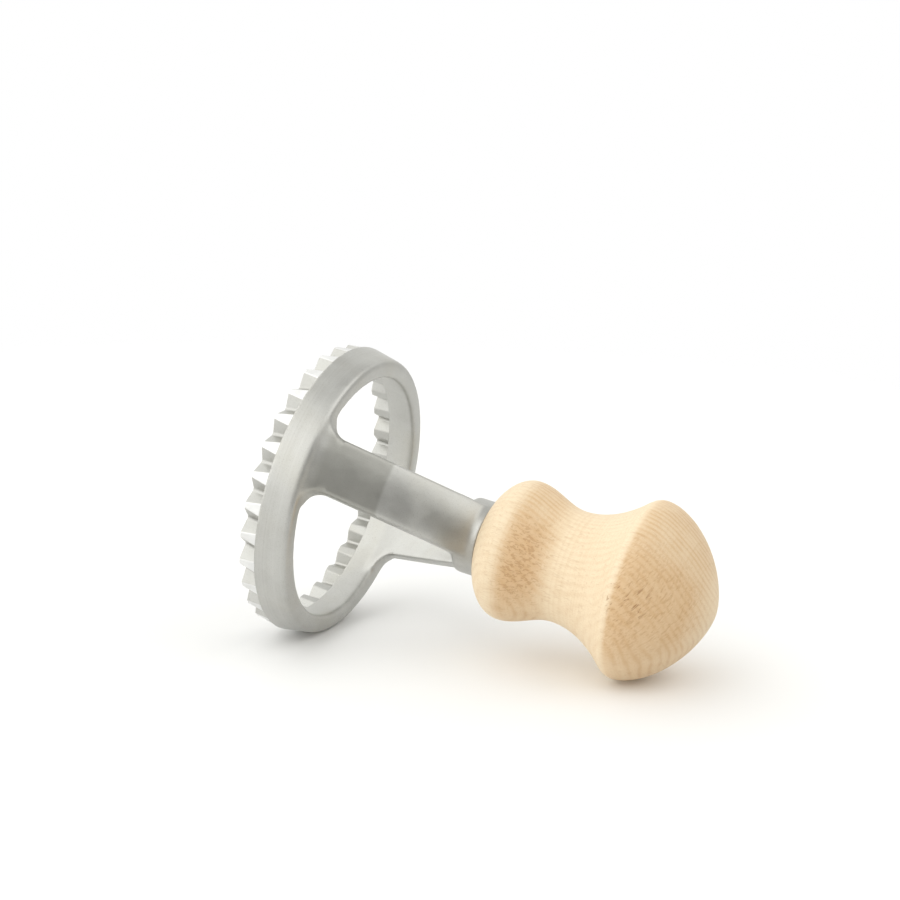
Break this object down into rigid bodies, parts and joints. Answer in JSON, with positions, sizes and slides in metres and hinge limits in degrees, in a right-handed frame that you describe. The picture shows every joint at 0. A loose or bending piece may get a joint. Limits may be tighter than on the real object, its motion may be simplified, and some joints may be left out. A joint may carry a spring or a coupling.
{
  "type": "pastry cutter",
  "caption": "Round pastry cutter and stamp: a zig-zag toothed cast ring on a two-armed fork, screwed to a turned wooden knob handle.",
  "frame": {"origin": "centre of the cutting edge, in the plane of the tooth tips that the tool stands on", "axes": "+Z from the cutting edge up through the handle, +X and -X towards the two arms"},
  "size_m": [0.0676, 0.0676, 0.0988],
  "materials": {
    "casting": "as-cast, tumbled satin",
    "handle_wood": "fine-sanded bare beech",
    "screw_steel": "bright zinc-plated steel"
  },
  "bodies": {
    "root": {"cutter_frame": "casting", "handle": "handle_wood", "handle_screw": "screw_steel"}
  },
  "joints": []
}
